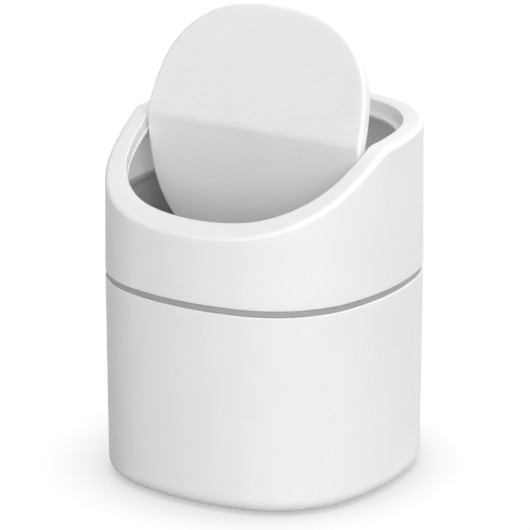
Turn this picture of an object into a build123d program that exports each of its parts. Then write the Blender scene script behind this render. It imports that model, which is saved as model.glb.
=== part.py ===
from build123d import *
from math import atan, atan2, degrees, hypot, radians, sqrt, tan
import os

# A countertop bin with a swing lid, in millimetres. +Z is up and the floor is z = 0.
# The low side of the rim, where rubbish is pushed in, faces -Y.
# An outer bucket holds a liner, the liner's neck holds a lid ring (the collar), and the
# collar holds a flap that swings on two pins.

# ---- driving dimensions --------------------------------------------------------------

# Plan: a square with bowed sides and large corners. The walls follow it in parallel.
half_width = 70.0          # centre line to the middle of a side, at the bucket's mouth
side_radius = 119.3        # bow of the four sides
corner_radius = 50.0       # the four corners

# Outer bucket
bucket_height = 96.2
bucket_wall = 2.2
bucket_floor = 2.6
bucket_draft = 0.7         # how much narrower each side is at the foot
foot_radius = 7.0          # rounding between the wall and the floor
bucket_lip_radius = 0.5

# Anti-slip pads in shallow pockets under the bucket
pad_radius = 6.5
pad_thickness = 1.4
pad_proud = 0.5            # how far the pads hold the bucket off the floor
pad_reach = 34.0           # pad centres, along X and along Y

# Liner
liner_wall = 1.6
liner_floor = 1.8
liner_draft = 2.2          # how much narrower each side is at the liner's foot
liner_foot_radius = 9.0
liner_floor_gap = 3.0      # between the liner's floor and the bucket's
flange_thickness = 3.1
flange_edge_radius = 0.5
flange_inset = 1.0         # the flange's edge stands this far inside the bucket's side
neck_rise = 2.4            # the neck's top stands this far above the rim's front edge
neck_edge_radius = 1.0     # round the outside of the neck's top edge
neck_bead = 1.0            # bead round the inside of that edge
neck_bead_height = 2.0

# Collar
collar_wall = 2.4
collar_draft = 0.48        # degrees, narrowing upwards
rim_front_height = 131.0   # top of the rim at its front edge
rim_front_slope = 0.55     # rise over run of the front half
rim_back_slope = 0.035     # and of the back half
rim_bend_y = -4.8          # where the two slopes meet
rim_bend_radius = 9.0      # the flap's bend has the same
rim_width = 9.7            # the broad top band, at the middle of a side
mouth_corner_radius = 44.8     # rounder than the bin's own corners, so the band widens there
rim_thickness = 2.4
rim_outer_radius = 2.6
rim_inner_radius = 0.5
mouth_wall = 1.8           # wall that hangs from the rim's inner edge
mouth_depth = 5.5          # how deep the flap sits in the mouth
lip_thickness = 1.4        # lip at the bottom of that wall
lip_width = 0.6            # how far the lip stands into the mouth
ledge_width = 5.5          # at the back the lip widens to this, and the flap lands on it

# Flap
flap_side_gap = 1.6        # between the flap's edge and the mouth's wall, all round
flap_shift = -0.4          # the flap sits this far forward in the mouth
flap_bend_back = 4.8       # the flap's bend is this far behind the rim's, so it lies deeper there
flap_thickness = 5.1
flap_skin = 1.8
flap_skirt = 1.8
flap_edge_radius = 1.5
back_panel_thickness = 1.4
back_panel_gap = 0.15      # between the back panel's edge and the flap's skirt
rib_thickness = 1.2        # ribs under the flap's skin, which carry the back panel
rib_spacing = 26.0
rib_count = 3

# Pivot
pivot_forward = 1.2        # in front of the line where the rim's two slopes meet
pivot_drop = 8.7           # and below it
pin_radius = 1.6
pin_running_gap = 0.06     # radial clearance in the collar's bearing
socket_wall = 1.5          # flap socket, round the pin
socket_length = 9.0
pin_flat = 1.1             # from the axis to the flat that keys the pin to the flap
socket_gap = 0.02          # radial, pin pressed into the flap
boss_radius = 4.4          # collar bearing, behind the mouth's wall
boss_length = 1.4
slot_squeeze = 0.15        # each side of the slot under the bearing grips the pin by this
finger_thickness = 0.9     # stop finger on the pin's outer end
finger_reach = 7.5         # from the pin's axis to the finger's tip
finger_width = 2.6
finger_closed_angle = 230.0    # where it points with the flap closed, from +Y towards +Z
stop_post_size = 2.2
stop_post_short = 1.0      # the post ends this far short of the finger's reach
stop_gap = 0.1             # finger to post, fully open
flap_open_angle = 65.8     # how far the flap stands open as modelled
flap_full_angle = 90.0     # how far it opens before the fingers meet their stops

# Gaps between pieces that come apart
seat_gap = 0.1             # bucket to flange, and flange to collar
slide_gap = 0.4            # neck to collar, and liner to bucket
finger_gap = 0.35          # finger to anything it swings past

sink = 0.9                 # how far a boss, rib or post runs into the wall that carries it

os.makedirs("parts", exist_ok=True)

# ---- worked-out sizes ----------------------------------------------------------------

floor_z = pad_proud
bucket_top_z = bucket_height
flange_z = bucket_top_z + seat_gap
flange_top_z = flange_z + flange_thickness
collar_z = flange_top_z + seat_gap
neck_top_z = rim_front_height + neck_rise
mouth_half = half_width - rim_width
wall_core = mouth_half + mouth_wall - sink
flap_half = mouth_half - flap_side_gap
bearing_high_x = mouth_half + mouth_wall + boss_length
finger_low_x = bearing_high_x + finger_gap
finger_high_x = finger_low_x + finger_thickness
socket_low_x = flap_half - socket_length
bend_z = rim_front_height + rim_front_slope * (rim_bend_y + half_width)
flap_bend_y = rim_bend_y + flap_bend_back
flap_bend_z = bend_z + rim_back_slope * flap_bend_back
flap_front_y = flap_shift - flap_half
flap_front_z = bend_z + rim_front_slope * (flap_front_y - rim_bend_y)
flap_front_slope = (flap_bend_z - flap_front_z) / (flap_bend_y - flap_front_y)
pivot_y = rim_bend_y - pivot_forward
pivot_z = bend_z - pivot_drop
tall = 2 * rim_front_height    # above every piece
wide = 4 * half_width          # beyond every piece


# ---- plan ----------------------------------------------------------------------------

def outline(half, side, corner, shift):
    """Eight tangent arcs: the half width, the radii of the sides and corners, the move along Y."""
    bow_centre = side - half
    corner_centre = (sqrt(2 * (side - corner) ** 2 - bow_centre ** 2) - bow_centre) / 2
    turn = degrees(atan2(corner_centre, corner_centre + bow_centre))
    side_arc = CenterArc((-bow_centre, 0), side, -turn, 2 * turn)
    corner_arc = CenterArc((corner_centre, corner_centre), corner, turn, 90 - 2 * turn)
    arcs = [Rot(0, 0, 90 * quarter) * arc for quarter in range(4) for arc in (side_arc, corner_arc)]
    return Pos(0, shift, 0) * make_face(arcs)


def bin_plan(inset, shift=0.0):
    """The bin's outline, moved in by the same amount all round."""
    return outline(half_width - inset, side_radius - inset, corner_radius - inset, shift)


def mouth_plan(inset, shift=0.0):
    """The mouth's outline, moved in by the same amount all round."""
    half = mouth_half - inset
    return outline(half, half + side_radius - half_width, mouth_corner_radius - inset, shift)


def prism(plan, low, high, taper=0.0):
    """An upright block on a plan. A positive taper, in degrees, narrows it upwards."""
    return extrude(Pos(0, 0, low) * plan, high - low, taper=taper)


# ---- side views of the rim and the flap ----------------------------------------------

def below_slopes(depth, bend_y, bend_height, front_slope):
    """Everything under two slopes that meet in a rounded bend, lowered squarely by depth."""
    front_drop = depth * hypot(1, front_slope)
    back_drop = depth * hypot(1, rim_back_slope)
    bend_shift = (front_drop - back_drop) / (front_slope - rim_back_slope)
    corner = (bend_y + bend_shift, bend_height + rim_back_slope * bend_shift - back_drop)
    front = (-wide, corner[1] - front_slope * (wide + corner[0]))
    back = (wide, corner[1] + rim_back_slope * (wide - corner[0]))
    side_view = Polyline(front, corner, back, (wide, -wide), (-wide, -wide), close=True)
    face = make_face(side_view)
    bend = face.vertices().sort_by_distance(Vector(corner[0], corner[1], 0))[0]
    face = fillet(bend, rim_bend_radius - depth)
    return extrude(Plane.YZ * face, wide, both=True)


def below_rim(depth):
    """Everything under the rim's top surface, lowered squarely by depth."""
    return below_slopes(depth, rim_bend_y, bend_z, rim_front_slope)


def below_flap(depth):
    """Everything under the closed flap's top surface, lowered squarely by depth."""
    return below_slopes(depth, flap_bend_y, flap_bend_z, flap_front_slope)


def flap_layer(upper, lower):
    """The slab between two depths under the closed flap's top surface."""
    return below_flap(upper) - below_flap(lower)


# ---- outer bucket --------------------------------------------------------------------

def make_outer_bucket():
    draft = -degrees(atan(bucket_draft / (bucket_top_z - floor_z)))
    body = prism(bin_plan(bucket_draft), floor_z, bucket_top_z, taper=draft)
    body = fillet(body.faces().sort_by(Axis.Z)[0].edges(), foot_radius)
    inner_plan = bin_plan(bucket_draft + bucket_wall)
    hollow = prism(inner_plan, floor_z + bucket_floor, bucket_top_z, taper=draft)
    hollow = fillet(hollow.faces().sort_by(Axis.Z)[0].edges(), foot_radius - bucket_wall)
    body = body - hollow
    body = fillet(body.faces().sort_by(Axis.Z)[-1].edges(), bucket_lip_radius)
    for place in pad_places().values():
        pocket = Pos(*place, floor_z) * Cylinder(pad_radius, pad_thickness - pad_proud,
                                                 align=(Align.CENTER, Align.CENTER, Align.MIN))
        body = body - pocket
    return body


def pad_places():
    """Where the four pads sit, by the corner that they are in."""
    return {
        "front_left": (-pad_reach, -pad_reach),
        "front_right": (pad_reach, -pad_reach),
        "rear_left": (-pad_reach, pad_reach),
        "rear_right": (pad_reach, pad_reach),
    }


def make_pad(place):
    pad = Cylinder(pad_radius, pad_thickness, align=(Align.CENTER, Align.CENTER, Align.MIN))
    return Pos(*place, 0) * pad


# ---- liner ---------------------------------------------------------------------------

def make_inner_bucket():
    neck_inset = collar_wall + slide_gap + (neck_top_z - collar_z) * tan(radians(collar_draft))
    top_inset = max(neck_inset, bucket_wall + slide_gap)
    low = floor_z + bucket_floor + liner_floor_gap
    draft = -degrees(atan(liner_draft / (flange_z - low)))
    tub = prism(bin_plan(top_inset + liner_draft), low, flange_z, taper=draft)
    tub = fillet(tub.faces().sort_by(Axis.Z)[0].edges(), liner_foot_radius)
    inner_plan = bin_plan(top_inset + liner_draft + liner_wall)
    hollow = prism(inner_plan, low + liner_floor, flange_z, taper=draft)
    hollow = fillet(hollow.faces().sort_by(Axis.Z)[0].edges(), liner_foot_radius - liner_wall)
    flange = prism(bin_plan(flange_inset), flange_z, flange_top_z)
    flange = fillet(flange.faces().filter_by(Axis.Z).edges(), flange_edge_radius)
    neck = prism(bin_plan(neck_inset), flange_z, neck_top_z)
    neck = fillet(neck.faces().sort_by(Axis.Z)[-1].edges(), neck_edge_radius)
    bead_low = neck_top_z - neck_bead_height
    bore = prism(bin_plan(neck_inset + liner_wall), flange_z, bead_low)
    bore = bore + prism(bin_plan(neck_inset + liner_wall + neck_bead), flange_z, tall)
    upper = (flange + neck - bore) & below_rim(rim_thickness + slide_gap)
    return tub - hollow + upper


# ---- collar --------------------------------------------------------------------------

def rim_edges(edges):
    """The curved edges among these that lie on the rim's top surface."""
    curved = edges.filter_by(GeomType.LINE, reverse=True)
    return curved.filter_by(lambda edge: edge.center().Z > collar_z + rim_outer_radius)


def on_pivot(solid, angle=0.0):
    """Puts a shape built round the X axis on the pivot's line, turned from +Y towards +Z."""
    return Pos(0, pivot_y, pivot_z) * Rot(angle, 0, 0) * solid


def rod(radius, low, high):
    """A round bar along X."""
    return Pos((low + high) / 2, 0, 0) * Rot(0, 90, 0) * Cylinder(radius, high - low)


def block(low, high):
    """A box between two opposite corners."""
    size = [b - a for a, b in zip(low, high)]
    return Pos(*low) * Box(*size, align=(Align.MIN, Align.MIN, Align.MIN))


def both_sides(solid):
    """The shape on the +X side, and its mirror image."""
    return solid + mirror(solid, about=Plane.YZ)


def make_stop_post():
    """Stands behind the bearing, where the finger meets it when the flap is fully open."""
    near_side = finger_width / 2 + stop_gap
    low = (wall_core, boss_radius - sink, near_side)
    high = (finger_high_x, finger_reach - stop_post_short, near_side + stop_post_size)
    return on_pivot(block(low, high), finger_closed_angle + flap_full_angle)


def make_bearing_cut():
    """The bearing's bore, and the slot under it that the pin snaps up through."""
    bore = rod(pin_radius + pin_running_gap, flap_half, finger_high_x)
    slot_side = pin_radius - slot_squeeze
    slot = block((flap_half, -slot_side, -boss_radius), (bearing_high_x, slot_side, 0))
    return on_pivot(bore + slot)


def make_collar_shell():
    ring = prism(bin_plan(0), collar_z, tall, taper=collar_draft) & below_rim(0)
    ring = fillet(rim_edges(ring.edges()), rim_outer_radius)
    shell = ring - prism(mouth_plan(0), collar_z, tall)
    shell = fillet(rim_edges(shell.edges() - ring.edges()), rim_inner_radius)

    lip_depth = mouth_depth + lip_thickness
    hollow = prism(bin_plan(collar_wall), collar_z, tall, taper=collar_draft) & below_rim(rim_thickness)
    shell = shell - (hollow - (prism(mouth_plan(-mouth_wall), collar_z, tall) - below_rim(lip_depth)))

    lip_opening = prism(mouth_plan(lip_width), collar_z, tall)
    lip_opening = lip_opening & prism(mouth_plan(0, -ledge_width), collar_z, tall)
    lip = prism(mouth_plan(sink - mouth_wall), collar_z, tall) - lip_opening
    shell = shell + (lip & (below_rim(mouth_depth) - below_rim(lip_depth)))

    bearing = on_pivot(rod(boss_radius, wall_core, bearing_high_x)) + make_stop_post()
    shell = shell + both_sides(bearing & below_rim(rim_thickness - sink))
    return shell - both_sides(make_bearing_cut())


# ---- flap, built closed and then swung open ------------------------------------------

def swing(solid):
    """Turns a closed flap's piece to where the flap stands."""
    return on_pivot(Pos(0, -pivot_y, -pivot_z) * solid, flap_open_angle)


def flap_prism(inset):
    return prism(mouth_plan(flap_side_gap + inset, flap_shift), collar_z, tall)


def keyed_rod(radius, flat, low, high):
    """A round bar along X with one flat, which keys a pin to the flap."""
    return rod(radius, low, high) & block((low, -radius, -flat), (high, radius, radius))


def make_ribs():
    """Ribs along Y under the flap's skin, down to the back panel."""
    ribs = flap_layer(flap_skin - sink, flap_thickness - back_panel_thickness)
    first = -rib_spacing * (rib_count - 1) / 2
    slices = [block((first + rib_spacing * rib - rib_thickness / 2, -wide, 0),
                    (first + rib_spacing * rib + rib_thickness / 2, wide, tall))
              for rib in range(rib_count)]
    return ribs & flap_prism(flap_skirt - sink) & (slices[0] + slices[1:])


def make_sockets(grow=0.0):
    """The bosses round the pins, with straight cheeks up to the flap's skin."""
    radius = pin_radius + socket_wall + grow
    low = socket_low_x - grow
    high = flap_half - flap_skirt + sink
    boss = rod(radius, low, high) + block((low, -radius, 0), (high, radius, pivot_drop))
    return both_sides(on_pivot(boss) & below_flap(flap_skin - sink))


def make_flap_cover():
    slab = flap_prism(0) & flap_layer(0, flap_thickness)
    slab = fillet(top_outline(slab), flap_edge_radius)
    cover = slab - (flap_prism(flap_skirt) & below_flap(flap_skin))
    cover = cover + make_ribs() + make_sockets()
    hole = keyed_rod(pin_radius + socket_gap, pin_flat + socket_gap, socket_low_x, flap_half)
    return swing(cover - both_sides(on_pivot(hole)))


def top_outline(slab):
    """The curved edges round a slab's top face."""
    curved = slab.edges().filter_by(GeomType.LINE, reverse=True)
    lower_half = below_flap(flap_thickness / 2).solid()
    return curved.filter_by(lambda edge: not lower_half.is_inside(edge.center()))


def make_flap_back():
    panel = flap_prism(flap_skirt + back_panel_gap)
    panel = panel & flap_layer(flap_thickness - back_panel_thickness, flap_thickness)
    return swing(panel - make_sockets(back_panel_gap))


def make_pivot_pin(side):
    """One pin with its stop finger. It is keyed to the flap, so it is made with the flap closed."""
    shaft = rod(pin_radius, flap_half, finger_high_x)
    key = keyed_rod(pin_radius, pin_flat, socket_low_x + socket_gap, flap_half)
    tip = Pos((finger_low_x + finger_high_x) / 2, finger_reach - finger_width / 2, 0)
    finger = block((finger_low_x, 0, -finger_width / 2),
                   (finger_high_x, finger_reach - finger_width / 2, finger_width / 2))
    finger = finger + tip * Rot(0, 90, 0) * Cylinder(finger_width / 2, finger_thickness)
    pin = on_pivot(shaft + key) + on_pivot(finger, finger_closed_angle)
    return swing(pin if side > 0 else mirror(pin, about=Plane.YZ))


# ---- write every piece ---------------------------------------------------------------

pieces = {
    "outer_bucket": make_outer_bucket(),
    "inner_bucket": make_inner_bucket(),
    "collar_shell": make_collar_shell(),
    "flap_cover": make_flap_cover(),
    "flap_back": make_flap_back(),
    "pivot_pin_left": make_pivot_pin(-1),
    "pivot_pin_right": make_pivot_pin(1),
}
for corner, place in pad_places().items():
    pieces[f"base_pad_{corner}"] = make_pad(place)

for name, piece in pieces.items():
    export_step(piece, f"parts/{name}.step")
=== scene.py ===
from math import cos, radians, sin

import bmesh
import bpy
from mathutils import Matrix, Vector

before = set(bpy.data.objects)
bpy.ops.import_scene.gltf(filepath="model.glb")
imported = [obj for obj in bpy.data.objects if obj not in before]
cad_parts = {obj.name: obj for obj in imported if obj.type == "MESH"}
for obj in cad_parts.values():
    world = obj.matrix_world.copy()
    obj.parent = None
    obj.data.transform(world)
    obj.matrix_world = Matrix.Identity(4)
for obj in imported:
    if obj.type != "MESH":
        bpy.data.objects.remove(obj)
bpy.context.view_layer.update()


# ---- room ----------------------------------------------------------------------------
# A still-life set. The bin stands on a pale table top in a white room, and a long lens
# looks down on it a little, from the right of its front.

def direction(azimuth, elevation):
    """Unit vector from the bin towards a lamp or the lens, in degrees. Azimuth 0 is its front."""
    across = cos(radians(elevation))
    return Vector((sin(radians(azimuth)) * across, -cos(radians(azimuth)) * across,
                   sin(radians(elevation))))


lens_azimuth = 33.02
lens_elevation = 17.5
lens_distance = 1.9959
lens_aim = Vector((-0.00431, 0.00683, 0.09563))
lens_data = bpy.data.cameras.new("still_life_lens")
lens_data.lens = 288.0
lens_data.sensor_width = 36.0
lens_data.clip_end = 20.0
lens = bpy.data.objects.new("still_life_lens", lens_data)
towards_lens = direction(lens_azimuth, lens_elevation)
lens.location = lens_aim + lens_distance * towards_lens
lens.rotation_euler = towards_lens.to_track_quat("Z", "Y").to_euler()
bpy.context.scene.collection.objects.link(lens)
bpy.context.scene.camera = lens
bpy.context.scene.view_settings.view_transform = "Standard"

softbox_width = radians(70)
# name: azimuth and elevation in degrees, strength, colour
softboxes = {
    "key_softbox": (60, 45, 0.97, (1.0, 0.998, 1.0)),
    "lens_softbox": (30, 20, 1.98, (1.0, 0.998, 0.998)),
    "rear_low_softbox": (150, 20, 1.05, (1.0, 0.998, 0.998)),
    "rear_high_softbox": (180, 45, 0.73, (1.0, 1.0, 1.0)),
}
for softbox_name, (azimuth, elevation, strength, colour) in softboxes.items():
    softbox_data = bpy.data.lights.new(softbox_name, "SUN")
    softbox_data.angle = softbox_width
    softbox_data.energy = strength
    softbox_data.color = colour
    softbox = bpy.data.objects.new(softbox_name, softbox_data)
    towards_softbox = direction(azimuth, elevation)
    softbox.location = lens_aim + towards_softbox
    softbox.rotation_euler = towards_softbox.to_track_quat("Z", "Y").to_euler()
    bpy.context.scene.collection.objects.link(softbox)


def place(tree, kind, inputs=(), **settings):
    """Adds a node, sets its properties, and gives each input a value or another node's output."""
    node = tree.nodes.new(kind)
    for setting, value in settings.items():
        setattr(node, setting, value)
    for socket, source in dict(inputs).items():
        if isinstance(source, bpy.types.NodeSocket):
            tree.links.new(source, node.inputs[socket])
        else:
            node.inputs[socket].default_value = source
    return node


def maths(tree, operation, first, second=0.0):
    """Output of one sum. Each number is a value or another node's output."""
    return place(tree, "ShaderNodeMath", {0: first, 1: second}, operation=operation).outputs["Value"]


def ramp(tree, value, low, high, start=0.0, end=1.0):
    """Output that goes smoothly from start to end while value goes from low to high."""
    return place(tree, "ShaderNodeMapRange",
                 {"Value": value, "From Min": low, "From Max": high, "To Min": start, "To Max": end},
                 interpolation_type="SMOOTHSTEP").outputs["Result"]


def seen_directly(tree):
    """Output that is 1 where the lens, a reflection or a clear part looks at the surface."""
    ray = place(tree, "ShaderNodeLightPath")
    mirrored = maths(tree, "MAXIMUM", ray.outputs["Is Camera Ray"], ray.outputs["Is Glossy Ray"])
    return maths(tree, "MAXIMUM", mirrored, ray.outputs["Is Transmission Ray"])


room_fill = 0.2
room_tint = (0.98, 0.99, 1.0, 1.0)
room_white = (1.0, 1.0, 1.0, 1.0)
room_air = bpy.data.worlds.new("room_air")
room_air.use_nodes = True
air = room_air.node_tree
air.nodes.clear()
air_fill = place(air, "ShaderNodeBackground", {"Color": room_tint, "Strength": room_fill})
air_white = place(air, "ShaderNodeBackground", {"Color": room_white, "Strength": 1.0})
air_choice = place(air, "ShaderNodeMixShader",
                   {"Fac": seen_directly(air), 1: air_fill.outputs["Background"],
                    2: air_white.outputs["Background"]})
place(air, "ShaderNodeOutputWorld", {"Surface": air_choice.outputs["Shader"]})
bpy.context.scene.world = room_air

table_width = 12.0
table_mesh = bpy.data.meshes.new("table_top")
table_shape = bmesh.new()
bmesh.ops.create_grid(table_shape, x_segments=1, y_segments=1, size=table_width / 2)
table_shape.to_mesh(table_mesh)
table_shape.free()
table_top = bpy.data.objects.new("table_top", table_mesh)
bpy.context.scene.collection.objects.link(table_top)

# The table throws light up at the bin as pale laminate does. Where the lens sees it, it takes a little light
# from the lamps and is lifted to white, but less so close to the foot: there the lift is dimmed by the
# table's occlusion, a painted contact shadow.
bounce_colour = (0.5, 0.5, 0.5, 1.0)      # how the table looks to the bin
lit_colour = (0.12, 0.12, 0.12, 1.0)      # how much of the lamps' light the lens sees on it
lift_to_white = 0.92
foot_shade_reach = 0.05        # metres from the foot
foot_shade_darkest = 0.55      # share of the lift that is left right against the foot
foot_shade_open = 0.12         # more open than this, the table begins to brighten
foot_shade_samples = 8
table_finish = bpy.data.materials.new("table_top_laminate")
table_finish.use_nodes = True
laminate = table_finish.node_tree
laminate.nodes.clear()
laminate_bounce = place(laminate, "ShaderNodeBsdfDiffuse", {"Color": bounce_colour})
laminate_lit = place(laminate, "ShaderNodeBsdfDiffuse", {"Color": lit_colour})
foot_shade = place(laminate, "ShaderNodeAmbientOcclusion", {"Distance": foot_shade_reach},
                   samples=foot_shade_samples)
# painted contact shadow: near the foot the table's occlusion dims its lift to white
lift_with_painted_shadow = ramp(laminate, foot_shade.outputs["AO"], foot_shade_open, 1.0, foot_shade_darkest, 1.0)
laminate_lift = place(laminate, "ShaderNodeEmission", {"Color": lift_with_painted_shadow, "Strength": lift_to_white})
laminate_white = place(laminate, "ShaderNodeAddShader",
                       {0: laminate_lit.outputs["BSDF"], 1: laminate_lift.outputs["Emission"]})
laminate_choice = place(laminate, "ShaderNodeMixShader",
                        {"Fac": seen_directly(laminate), 1: laminate_bounce.outputs["BSDF"],
                         2: laminate_white.outputs["Shader"]})
place(laminate, "ShaderNodeOutputMaterial", {"Surface": laminate_choice.outputs["Shader"]})
table_top.data.materials.append(table_finish)


# ---- moulded plastic -----------------------------------------------------------------
# Every part but the pads is injection moulded, the pins in acetal and the rest in
# polypropylene. The mould gives them a fine spark-eroded grain and a slight drift in shade,
# and use adds scratches, bands of wear and dust.

def effect(name, inputs, outputs):
    """Shader node group with its sockets. Returns it and its inputs by name."""
    group = bpy.data.node_groups.new(name, "ShaderNodeTree")
    for socket_name, socket_type, value in inputs:
        socket = group.interface.new_socket(socket_name, in_out="INPUT", socket_type=socket_type)
        socket.default_value = value
    for socket_name, socket_type in outputs:
        group.interface.new_socket(socket_name, in_out="OUTPUT", socket_type=socket_type)
    return group, place(group, "NodeGroupInput").outputs


def put_out(group, **outputs):
    """Ends an effect: each of its outputs, by name, gets another node's output."""
    place(group, "NodeGroupOutput", {name.replace("_", " "): source for name, source in outputs.items()})


def use(tree, group, **inputs):
    """Outputs of an effect placed in a material, with the material's own values."""
    named = {name.replace("_", " "): source for name, source in inputs.items()}
    return place(tree, "ShaderNodeGroup", named, node_tree=group).outputs


noise_low = 0.3      # most of a noise lies between this
noise_high = 0.7     # and this
noise_middle = 0.5


def noise(tree, size, place_on_part, detail=2.0):
    """Output of a soft noise, from 0 to 1, whose features are about size metres across."""
    return place(tree, "ShaderNodeTexNoise",
                 {"Vector": place_on_part, "Scale": maths(tree, "DIVIDE", 1.0, size),
                  "Detail": detail}).outputs["Fac"]


def blend(tree, mode, share, under, over):
    """Output of a colour laid over another."""
    mix = place(tree, "ShaderNodeMix", data_type="RGBA", blend_type=mode)
    sockets = {socket.identifier: socket for socket in mix.inputs}
    for identifier, source in (("Factor_Float", share), ("A_Color", under), ("B_Color", over)):
        if isinstance(source, bpy.types.NodeSocket):
            tree.links.new(source, sockets[identifier])
        else:
            sockets[identifier].default_value = source
    return {socket.identifier: socket for socket in mix.outputs}["Result_Color"]


# The grain is a dense field of rounded tops and pits. Under it the skin waves a little,
# which is what breaks up a soft reflection on a moulded wall.
mould_grain, given = effect(
    "mould_grain",
    [("Grain Size", "NodeSocketFloat", 0.0004), ("Grain Depth", "NodeSocketFloat", 0.00001),
     ("Wave Size", "NodeSocketFloat", 0.009), ("Wave Depth", "NodeSocketFloat", 0.00002)],
    [("Normal", "NodeSocketVector"), ("Grain", "NodeSocketFloat")])
on_part = place(mould_grain, "ShaderNodeTexCoord").outputs["Object"]
grain = noise(mould_grain, given["Grain Size"], on_part)
waves = noise(mould_grain, given["Wave Size"], on_part, detail=1.0)
skin_height = maths(mould_grain, "ADD", maths(mould_grain, "MULTIPLY", grain, given["Grain Depth"]),
                    maths(mould_grain, "MULTIPLY", waves, given["Wave Depth"]))
skin = place(mould_grain, "ShaderNodeBump", {"Height": skin_height, "Strength": 1.0, "Distance": 1.0})
put_out(mould_grain, Normal=skin.outputs["Normal"], Grain=grain)

# The shade drifts over soft patches, with a fainter mottle inside them.
shade_drift, given = effect(
    "shade_drift",
    [("Color", "NodeSocketColor", (0.9, 0.9, 0.9, 1.0)), ("Patch Size", "NodeSocketFloat", 0.03),
     ("Drift", "NodeSocketFloat", 0.02)],
    [("Color", "NodeSocketColor")])
on_part = place(shade_drift, "ShaderNodeTexCoord").outputs["Object"]
patches = noise(shade_drift, given["Patch Size"], on_part, detail=5.0)
drifted = maths(shade_drift, "SUBTRACT", 1.0,
                maths(shade_drift, "MULTIPLY", ramp(shade_drift, patches, noise_low, noise_high),
                      given["Drift"]))
put_out(shade_drift, Color=blend(shade_drift, "MULTIPLY", 1.0, given["Color"], drifted))

# Handling leaves fine curved scratches that come in clusters and run two ways.
handling_scratches, given = effect(
    "handling_scratches",
    [("Length", "NodeSocketFloat", 0.02), ("Width", "NodeSocketFloat", 0.0004),
     ("Spread", "NodeSocketFloat", 0.3)],
    [("Scratches", "NodeSocketFloat")])
on_part = place(handling_scratches, "ShaderNodeTexCoord").outputs["Object"]
scratch_ways = ((0.5, 0.2, 0.9), (-0.4, 0.3, 2.3))      # turns about X, Y and Z, in radians
scratch_squeeze = (1.0, 1.0, 9.0)                      # packs them closer along one axis
cluster_width = 1.5                                    # in scratch lengths
cluster_edge = 0.1
rare_threshold = 0.75                                  # noise above this is in a cluster at Spread 0
common_threshold = 0.25                                # and above this at Spread 1
scratch_layers = []
for way in scratch_ways:
    turned = place(handling_scratches, "ShaderNodeVectorRotate", {"Vector": on_part, "Rotation": way},
                   rotation_type="EULER_XYZ").outputs["Vector"]
    squeezed = place(handling_scratches, "ShaderNodeVectorMath", {0: turned, 1: scratch_squeeze},
                     operation="MULTIPLY").outputs["Vector"]
    field = noise(handling_scratches, given["Length"], squeezed)
    off_line = maths(handling_scratches, "ABSOLUTE",
                     maths(handling_scratches, "SUBTRACT", field, noise_middle))
    line_share = maths(handling_scratches, "DIVIDE", given["Width"], given["Length"])
    scratch_layers.append(ramp(handling_scratches, off_line, line_share, 0.0))
cluster_size = maths(handling_scratches, "MULTIPLY", given["Length"], cluster_width)
clusters = noise(handling_scratches, cluster_size, on_part)
lowered = maths(handling_scratches, "MULTIPLY", given["Spread"], rare_threshold - common_threshold)
threshold = maths(handling_scratches, "SUBTRACT", rare_threshold, lowered)
in_cluster = ramp(handling_scratches, clusters, threshold,
                  maths(handling_scratches, "ADD", threshold, cluster_edge))
either = maths(handling_scratches, "MAXIMUM", *scratch_layers)
put_out(handling_scratches, Scratches=maths(handling_scratches, "MULTIPLY", either, in_cluster))

# A level band round a part, such as the foot that is slid about or the edge that is gripped.
level_band, given = effect(
    "level_band",
    [("Low", "NodeSocketFloat", 0.0), ("High", "NodeSocketFloat", 0.01),
     ("Fade", "NodeSocketFloat", 0.005)],
    [("Band", "NodeSocketFloat")])
on_part = place(level_band, "ShaderNodeTexCoord").outputs["Object"]
height = place(level_band, "ShaderNodeSeparateXYZ", {"Vector": on_part}).outputs["Z"]
above = ramp(level_band, height, maths(level_band, "SUBTRACT", given["Low"], given["Fade"]), given["Low"])
below = ramp(level_band, height, maths(level_band, "ADD", given["High"], given["Fade"]), given["High"])
put_out(level_band, Band=maths(level_band, "MULTIPLY", above, below))

# Dust settles on what faces up, thicker in some places than in others.
settled_dust, given = effect(
    "settled_dust", [("Amount", "NodeSocketFloat", 0.2), ("Speck Size", "NodeSocketFloat", 0.0015)],
    [("Dust", "NodeSocketFloat")])
dust_slides_off = 0.45      # upward part of the surface's normal, below which no dust stays
dust_stays = 0.95           # and above which it lies as thick as it gets
dust_place = place(settled_dust, "ShaderNodeTexCoord").outputs
facing = place(settled_dust, "ShaderNodeSeparateXYZ", {"Vector": dust_place["Normal"]}).outputs["Z"]
specks = noise(settled_dust, given["Speck Size"], dust_place["Object"], detail=4.0)
lying = maths(settled_dust, "MULTIPLY", ramp(settled_dust, facing, dust_slides_off, dust_stays),
              ramp(settled_dust, specks, low=0.35, high=0.75))
put_out(settled_dust, Dust=maths(settled_dust, "MULTIPLY", lying, given["Amount"]))


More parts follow.
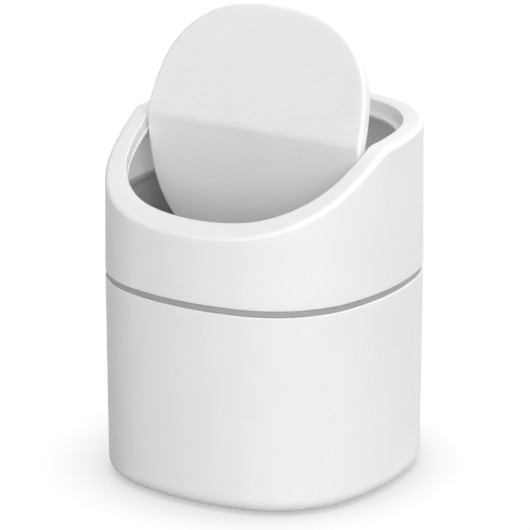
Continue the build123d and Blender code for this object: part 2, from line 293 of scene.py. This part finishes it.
class Moulding:
    """A moulded plastic's material. Wear is laid over it one layer at a time."""

    gloss_spread = 0.05      # the grain's tops are rougher than the mean by this, its pits smoother

    def __init__(self, name, colour, roughness, see_through, drift, grain_depth=0.000008):
        self.material = bpy.data.materials.new(name)
        self.material.use_nodes = True
        self.material.diffuse_color = colour
        self.tree = self.material.node_tree
        self.shader = self.tree.nodes["Principled BSDF"]
        self.shader.inputs["IOR"].default_value = 1.49
        self.shader.inputs["Specular IOR Level"].default_value = 0.35
        self.shader.inputs["Subsurface Weight"].default_value = see_through
        self.shader.inputs["Subsurface Radius"].default_value = (1.0, 0.97, 0.92)
        self.shader.inputs["Subsurface Scale"].default_value = 0.004
        skin = use(self.tree, mould_grain, Grain_Depth=grain_depth)
        self.tree.links.new(skin["Normal"], self.shader.inputs["Normal"])
        self.colour = use(self.tree, shade_drift, Color=colour, Drift=drift)["Color"]
        self.roughness = ramp(self.tree, skin["Grain"], noise_low, noise_high,
                              roughness - self.gloss_spread, roughness + self.gloss_spread)
        self.connect()

    def connect(self):
        """Gives the shader the colour and roughness reached so far."""
        self.tree.links.new(self.colour, self.shader.inputs["Base Color"])
        self.tree.links.new(self.roughness, self.shader.inputs["Roughness"])

    def lay(self, share, colour, roughness):
        """Lays wear or dirt over the plastic where share says, in its own colour and roughness."""
        self.colour = blend(self.tree, "MIX", share, self.colour, colour)
        change = maths(self.tree, "MULTIPLY", share, maths(self.tree, "SUBTRACT", roughness, self.roughness))
        self.roughness = maths(self.tree, "ADD", self.roughness, change)
        self.connect()

    def band(self, low, high, fade):
        """Share that is 1 between two heights in metres."""
        return use(self.tree, level_band, Low=low, High=high, Fade=fade)["Band"]

    def scratches(self, length, spread):
        """Share that is 1 along scratches of that length."""
        return use(self.tree, handling_scratches, Length=length, Spread=spread)["Scratches"]

    def part_of(self, share, strength):
        """A share that is weaker, by a number or by another share."""
        return maths(self.tree, "MULTIPLY", share, strength)


def dress(node_name, material):
    """Puts a material on a part of the frame."""
    for material_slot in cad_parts[node_name].material_slots:
        material_slot.material = material


# ---- outer bucket --------------------------------------------------------------------
# The outer bucket is a white moulding that stands on the table and holds everything else.
# Its foot is slid about, which scuffs the rounded edge, and its wall picks up fine scratches.

bucket_white = Moulding("bucket_white_plastic", colour=(0.9, 0.893, 0.897, 1.0), roughness=0.46,
                        see_through=0.5, drift=0.02)
foot_band = bucket_white.band(low=-0.001, high=0.004, fade=0.006)
foot_scuffs = bucket_white.part_of(bucket_white.scratches(length=0.012, spread=0.9), foot_band)
bucket_scratches = bucket_white.scratches(length=0.03, spread=0.25)
bucket_white.lay(bucket_white.part_of(foot_band, strength=0.04),
                 colour=(0.6, 0.58, 0.55, 1.0), roughness=0.52)
bucket_white.lay(bucket_white.part_of(foot_scuffs, strength=0.12),
                 colour=(0.6, 0.59, 0.57, 1.0), roughness=0.55)
bucket_white.lay(bucket_white.part_of(bucket_scratches, strength=0.06),
                 colour=(0.7, 0.7, 0.7, 1.0), roughness=0.36)
dress("outer_bucket", bucket_white.material)


# ---- base pads -----------------------------------------------------------------------
# Four round pads of soft grey rubber are pressed into the underside and stop the bin from
# sliding. Rubber has a fine sandy skin, and picks up pale dust where it meets the table.

rubber_grey = (0.2, 0.2, 0.205, 1.0)
table_dust = (0.45, 0.44, 0.42, 1.0)
pad_rubber = bpy.data.materials.new("base_pad_rubber")
pad_rubber.use_nodes = True
pad_rubber.diffuse_color = rubber_grey
rubber = pad_rubber.node_tree
rubber_shader = rubber.nodes["Principled BSDF"]
rubber_shader.inputs["IOR"].default_value = 1.52
rubber_shader.inputs["Specular IOR Level"].default_value = 0.35
rubber_skin = use(rubber, mould_grain, Grain_Size=0.00025, Grain_Depth=0.00002, Wave_Size=0.003)
rubber_shade = use(rubber, shade_drift, Color=rubber_grey, Patch_Size=0.002, Drift=0.25)
tread = use(rubber, level_band, Low=-0.001, High=0.0003, Fade=0.0003)["Band"]
grain_dust = ramp(rubber, rubber_skin["Grain"], low=0.4, high=0.7, start=0.15, end=0.5)
tread_dust = maths(rubber, "MULTIPLY", tread, grain_dust)
rubber_colour = blend(rubber, "MIX", tread_dust, rubber_shade["Color"], table_dust)
rubber_roughness = ramp(rubber, rubber_skin["Grain"], noise_low, noise_high, start=0.72, end=0.88)
rubber.links.new(rubber_colour, rubber_shader.inputs["Base Color"])
rubber.links.new(rubber_roughness, rubber_shader.inputs["Roughness"])
rubber.links.new(rubber_skin["Normal"], rubber_shader.inputs["Normal"])
for node_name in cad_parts:
    if node_name.startswith("base_pad_"):
        dress(node_name, pad_rubber)


# ---- inner bucket --------------------------------------------------------------------
# The inner bucket is a grey moulding that lifts out to be emptied. Rubbish scratches its wall
# and leaves a thin film near the floor. Its flange shows as the grey line under the collar.

liner_grey = Moulding("liner_grey_plastic", colour=(0.4, 0.4, 0.403, 1.0), roughness=0.42,
                      see_through=0.1, drift=0.05)
liner_film = liner_grey.band(low=0.0, high=0.022, fade=0.03)
liner_scratches = liner_grey.scratches(length=0.025, spread=0.6)
liner_grey.lay(liner_grey.part_of(liner_film, strength=0.25),
               colour=(0.3, 0.28, 0.25, 1.0), roughness=0.55)
liner_grey.lay(liner_grey.part_of(liner_scratches, strength=0.3),
               colour=(0.55, 0.55, 0.55, 1.0), roughness=0.5)
dress("inner_bucket", liner_grey.material)


# ---- collar --------------------------------------------------------------------------
# The collar is a white moulding that drops over the inner bucket's neck and carries the flap.
# Its sloping rim gathers dust and its lower edge is where fingers pull it off.

collar_white = Moulding("collar_white_plastic", colour=(0.9, 0.896, 0.904, 1.0), roughness=0.44,
                        see_through=0.5, drift=0.02)
grip_band = collar_white.band(low=0.099, high=0.104, fade=0.01)
grip_scratches = collar_white.part_of(collar_white.scratches(length=0.015, spread=0.6), grip_band)
rim_dust = use(collar_white.tree, settled_dust, Amount=0.12)["Dust"]
collar_scratches = collar_white.scratches(length=0.03, spread=0.25)
collar_white.lay(rim_dust, colour=(0.72, 0.7, 0.67, 1.0), roughness=0.62)
collar_white.lay(collar_white.part_of(grip_scratches, strength=0.07),
                 colour=(0.66, 0.65, 0.63, 1.0), roughness=0.5)
collar_white.lay(collar_white.part_of(collar_scratches, strength=0.06),
                 colour=(0.7, 0.7, 0.7, 1.0), roughness=0.34)
dress("collar_shell", collar_white.material)


# ---- flap ----------------------------------------------------------------------------
# The flap is two white mouldings: a smooth bent cover with ribs inside, and a panel welded to
# them. It is pushed with whatever goes in, so its face is finely scratched and smudged.

flap_white = Moulding("flap_white_plastic", colour=(0.9, 0.9, 0.9, 1.0), roughness=0.48,
                      see_through=0.5, drift=0.025)
on_flap = place(flap_white.tree, "ShaderNodeTexCoord").outputs["Object"]
smudge_size = 0.035
smudges = ramp(flap_white.tree, noise(flap_white.tree, smudge_size, on_flap, detail=3.0),
               low=0.52, high=0.7, end=0.1)
flap_scratches = flap_white.scratches(length=0.02, spread=0.5)
flap_white.lay(smudges, colour=(0.7, 0.69, 0.67, 1.0), roughness=0.4)
flap_white.lay(flap_white.part_of(flap_scratches, strength=0.08),
               colour=(0.66, 0.66, 0.66, 1.0), roughness=0.38)
for node_name in ("flap_cover", "flap_back"):
    dress(node_name, flap_white.material)


# ---- pivot pins ----------------------------------------------------------------------
# Two pins of natural acetal, each with a stop finger, are pressed into the flap and snap into
# the collar. They are smoother than the white mouldings, and the bearing rubs them grey.

pin_acetal = Moulding("pin_natural_acetal", colour=(0.78, 0.77, 0.73, 1.0), roughness=0.3,
                      see_through=0.5, drift=0.03, grain_depth=0.000002)
pin_rubbing = pin_acetal.scratches(length=0.004, spread=1.0)
pin_acetal.lay(pin_acetal.part_of(pin_rubbing, strength=0.5),
               colour=(0.45, 0.45, 0.45, 1.0), roughness=0.45)
for node_name in ("pivot_pin_left", "pivot_pin_right"):
    dress(node_name, pin_acetal.material)
